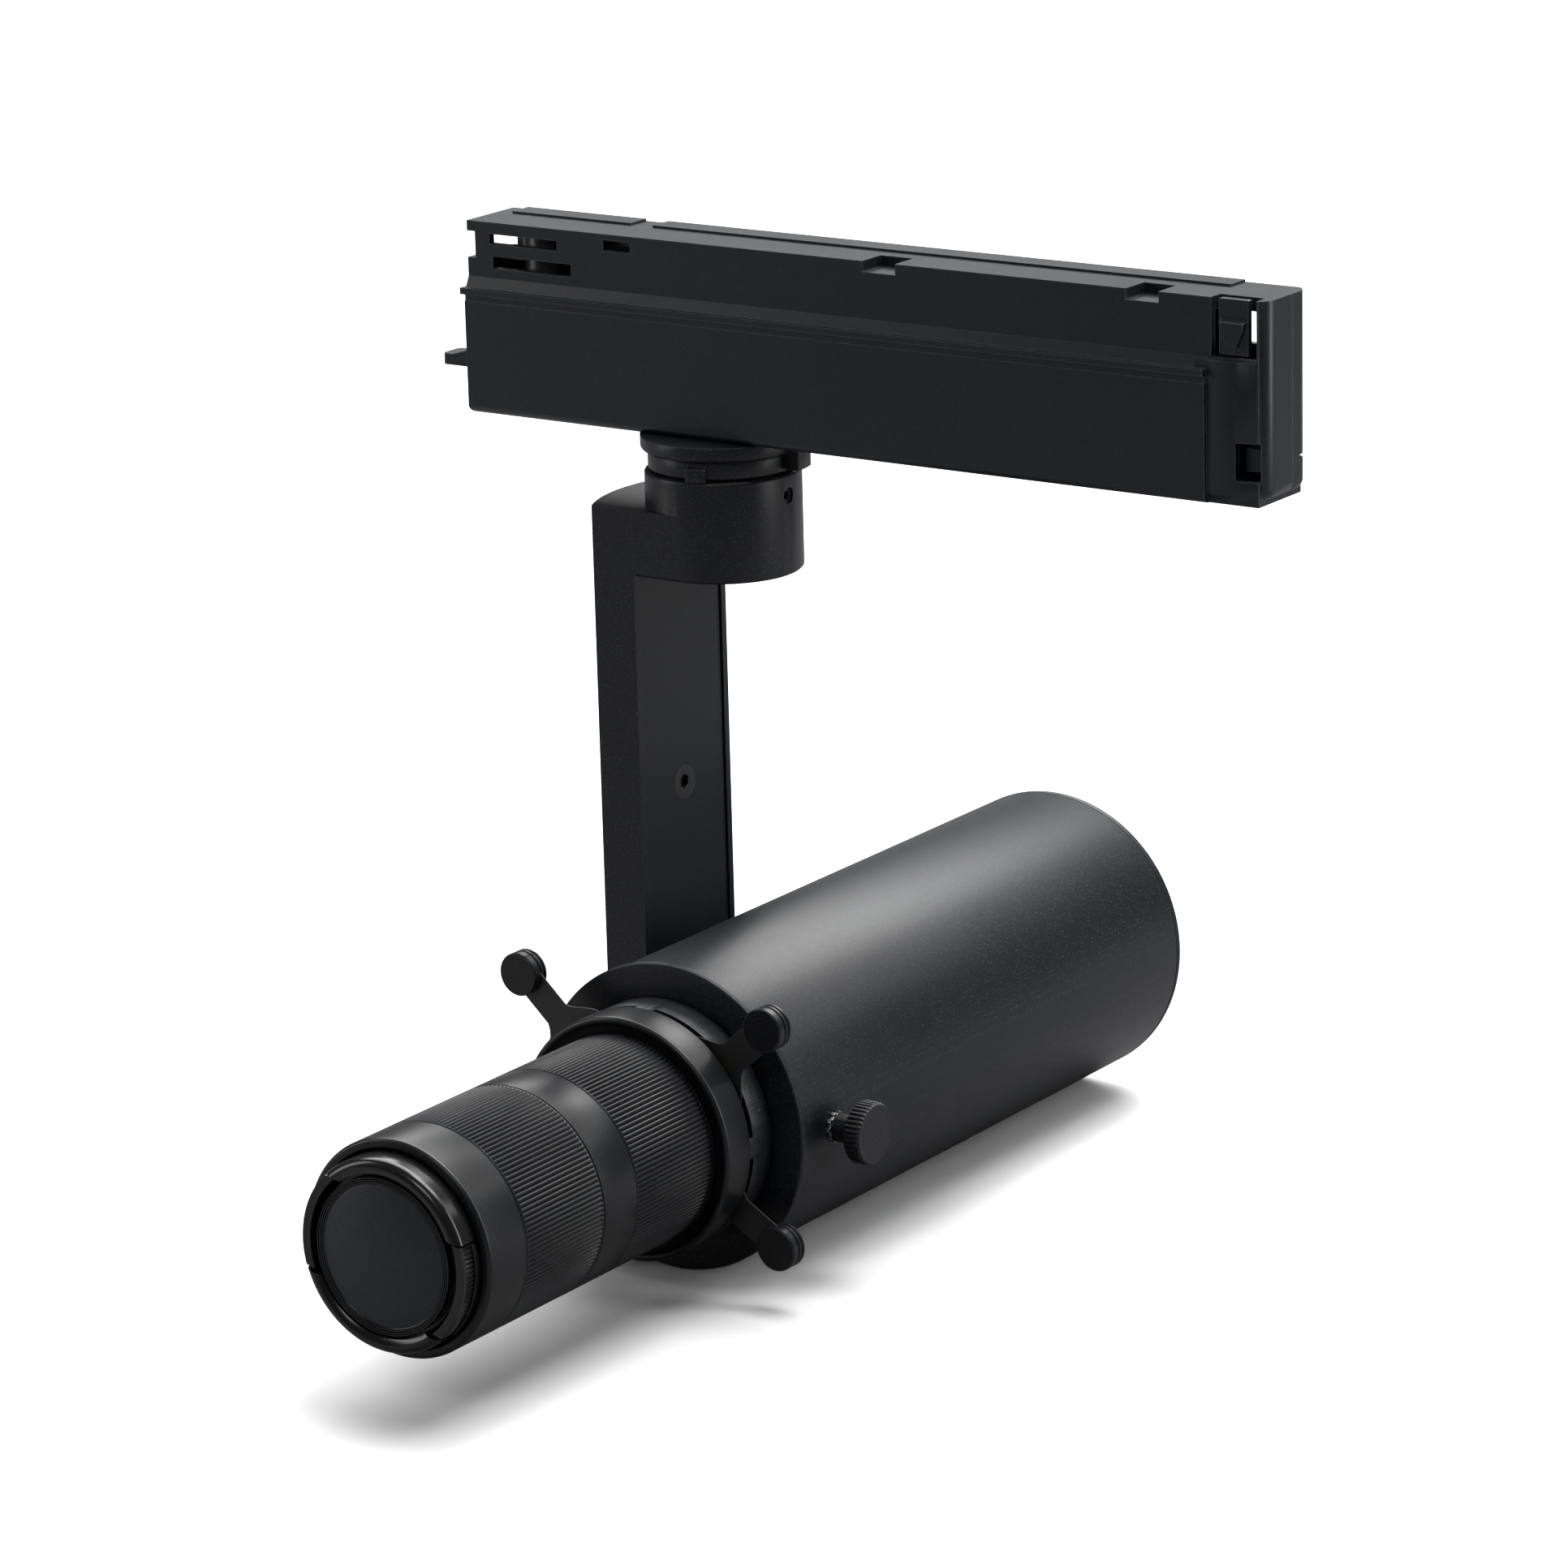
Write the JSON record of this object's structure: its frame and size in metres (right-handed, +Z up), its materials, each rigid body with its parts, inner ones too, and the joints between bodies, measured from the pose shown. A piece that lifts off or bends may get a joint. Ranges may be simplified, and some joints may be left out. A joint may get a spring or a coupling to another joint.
{
  "type": "ellipsoidal spotlight",
  "caption": "Track-mounted ellipsoidal framing spotlight: slim adapter, swivel and tilt arm, tube body, sliding framing blades, zoom and focus rings and a lens cap.",
  "frame": {"origin": "where the swivel axis meets the seat plane of the track lips on the adapter", "axes": "+Z up out of the adapter into the track, +X along the adapter towards its release end, the lens points along -Y"},
  "size_m": [0.2204, 0.2641, 0.2192],
  "materials": {
    "body_powder": "fine-grain powder coat, satin",
    "adapter_moulding": "satin moulding",
    "ring_black": "satin black anodised",
    "blade_sheet": "dark heat-proof coat",
    "cap_gloss": "gloss moulding",
    "cap_grain": "leather grain",
    "steel": "bright zinc",
    "steel_dark": "black oxide",
    "contact_brass": "plain",
    "board": "solder mask",
    "winding": "tape and ferrite",
    "can": "shrink sleeve",
    "sink": "extruded",
    "led": "phosphor",
    "mirror": "polished",
    "lens": "polished",
    "lead": "jacket"
  },
  "bodies": {
    "adapter": {"adapter_front_shell": "adapter_moulding", "adapter_back_shell": "adapter_moulding", "shell_screws": "steel", "swivel_disc": "body_powder", "driver_board": "board", "transformer": "winding", "capacitors": "can", "terminal_block": "adapter_moulding"},
    "contact_rotor": {"contact_carrier": "adapter_moulding", "phase_contacts": "contact_brass", "lock_lever": "adapter_moulding"},
    "selector": {"release_slider": "adapter_moulding"},
    "latch_front": {"latch_tongue_front": "adapter_moulding"},
    "latch_back": {"latch_tongue_back": "adapter_moulding"},
    "yoke": {"stop_ring": "body_powder", "swivel_stem": "steel", "swivel_nut": "steel", "swivel_boss": "body_powder", "yoke_screws": "steel_dark", "arm": "body_powder", "arm_cover": "body_powder", "supply_lead": "lead", "tilt_bolt": "steel_dark", "tilt_nut": "steel"},
    "head": {"body_tube": "body_powder", "front_flange": "body_powder", "rear_cover": "body_powder", "rear_screws": "steel_dark", "heat_sink": "sink", "led_module": "led", "led_holder": "ring_black", "reflector": "mirror", "condenser_holder": "ring_black", "condenser_lens": "lens", "lock_washer": "steel"},
    "clamp_screw": {"thumbscrew": "body_powder"},
    "optics": {"gate_drum": "body_powder", "gate_plate": "ring_black", "front_collar": "body_powder", "lens_barrel": "ring_black", "mid_band": "ring_black", "nose_band": "ring_black"},
    "zoom_grip": {"zoom_ring": "ring_black"},
    "zoom_carriage": {"zoom_cell": "ring_black", "zoom_lens": "lens"},
    "focus_grip": {"focus_ring": "ring_black"},
    "focus_carriage": {"focus_cell": "ring_black", "focus_lens": "lens"},
    "lens_cap": {"cap_rim": "cap_gloss", "cap_disc": "cap_grain"},
    "cap_pad_right": {"cap_latch_right": "cap_gloss"},
    "cap_pad_left": {"cap_latch_left": "cap_gloss"},
    "guide_1": {"shutter_guide_1": "steel"},
    "blade_1": {"shutter_1": "blade_sheet"},
    "guide_2": {"shutter_guide_2": "steel"},
    "blade_2": {"shutter_2": "blade_sheet"},
    "guide_3": {"shutter_guide_3": "steel"},
    "blade_3": {"shutter_3": "blade_sheet"},
    "guide_4": {"shutter_guide_4": "steel"},
    "blade_4": {"shutter_4": "blade_sheet"}
  },
  "joints": [
    {"name": "lock_lever_turn", "type": "hinge", "parent": "adapter", "child": "contact_rotor", "pos_m": [-0.046, 0, -0.02], "axis": [0, 0, -1], "range_deg": [0, 90]},
    {"name": "selector_slide", "type": "slide", "parent": "adapter", "child": "selector", "axis": [-1, 0, 0], "range_m": [0, 0.0055], "stiffness_N_per_m": 150},
    {"name": "latch_front_press", "type": "slide", "parent": "adapter", "child": "latch_front", "axis": [0, 1, 0], "range_m": [0, 0.0012]},
    {"name": "latch_back_press", "type": "slide", "parent": "adapter", "child": "latch_back", "axis": [0, -1, 0], "range_m": [0, 0.0012]},
    {"name": "swivel", "type": "hinge", "parent": "adapter", "child": "yoke", "pos_m": [0, 0, -0.035], "axis": [0, 0, 1], "range_deg": [-258, 64]},
    {"name": "tilt", "type": "hinge", "parent": "yoke", "child": "head", "pos_m": [-0.0118, 0, -0.1682], "axis": [1, 0, 0], "range_deg": [-30, 90]},
    {"name": "clamp_screw_turn", "type": "hinge", "parent": "head", "child": "clamp_screw", "pos_m": [0.065, -0.0473, -0.1682], "axis": [1, 0, 0], "range_deg": [-360, 0]},
    {"name": "optics_turn", "type": "hinge", "parent": "head", "child": "optics", "pos_m": [0.0237, -0.06, -0.1682], "axis": [0, -1, 0], "range_deg": [-45, 45]},
    {"name": "zoom_turn", "type": "hinge", "parent": "optics", "child": "zoom_grip", "pos_m": [0.0237, -0.09, -0.1682], "axis": [0, -1, 0], "range_deg": [-60, 90]},
    {"name": "zoom_travel", "type": "slide", "parent": "optics", "child": "zoom_carriage", "axis": [0, -1, 0], "range_m": [-0.004, 0.006]},
    {"name": "focus_turn", "type": "hinge", "parent": "optics", "child": "focus_grip", "pos_m": [0.0237, -0.131, -0.1682], "axis": [0, -1, 0], "range_deg": [-75, 75]},
    {"name": "focus_travel", "type": "slide", "parent": "optics", "child": "focus_carriage", "axis": [0, -1, 0], "range_m": [-0.005, 0.005]},
    {"name": "cap_pull", "type": "slide", "parent": "optics", "child": "lens_cap", "axis": [0, -1, 0], "range_m": [0, 0.02]},
    {"name": "shutter_1_angle", "type": "hinge", "parent": "optics", "child": "guide_1", "pos_m": [0.03796, -0.07, -0.1558], "axis": [0, -1, 0], "range_deg": [-8, 8]},
    {"name": "shutter_1_push", "type": "slide", "parent": "guide_1", "child": "blade_1", "axis": [-0.7547, 0, -0.6561], "range_m": [0, 0.007]},
    {"name": "shutter_2_angle", "type": "hinge", "parent": "optics", "child": "guide_2", "pos_m": [0.00827, -0.07, -0.15381], "axis": [0, -1, 0], "range_deg": [-8, 8]},
    {"name": "shutter_2_push", "type": "slide", "parent": "guide_2", "child": "blade_2", "axis": [0.7314, 0, -0.682], "range_m": [0, 0.007]},
    {"name": "shutter_3_angle", "type": "hinge", "parent": "optics", "child": "guide_3", "pos_m": [0.00991, -0.07, -0.18199], "axis": [0, -1, 0], "range_deg": [-8, 8]},
    {"name": "shutter_3_push", "type": "slide", "parent": "guide_3", "child": "blade_3", "axis": [0.7071, 0, 0.7071], "range_m": [0, 0.007]},
    {"name": "shutter_4_angle", "type": "hinge", "parent": "optics", "child": "guide_4", "pos_m": [0.03836, -0.07, -0.17701], "axis": [0, -1, 0], "range_deg": [-8, 8]},
    {"name": "shutter_4_push", "type": "slide", "parent": "guide_4", "child": "blade_4", "axis": [-0.8572, 0, 0.515], "range_m": [0, 0.007]},
    {"name": "cap_pad_right_press", "type": "slide", "parent": "lens_cap", "child": "cap_pad_right", "axis": [-0.9613, 0, 0.2756], "range_m": [0, 0.0009], "stiffness_N_per_m": 600},
    {"name": "cap_pad_left_press", "type": "slide", "parent": "lens_cap", "child": "cap_pad_left", "axis": [0.9613, 0, -0.2756], "range_m": [0, 0.0009], "stiffness_N_per_m": 600}
  ],
  "couplings": [
    {"joint": "latch_front_press", "follows": "selector_slide", "ratio": 0.218},
    {"joint": "latch_back_press", "follows": "selector_slide", "ratio": 0.218},
    {"joint": "zoom_travel", "follows": "zoom_turn", "m_per_rad": 0.0038},
    {"joint": "focus_travel", "follows": "focus_turn", "m_per_rad": 0.0038}
  ]
}
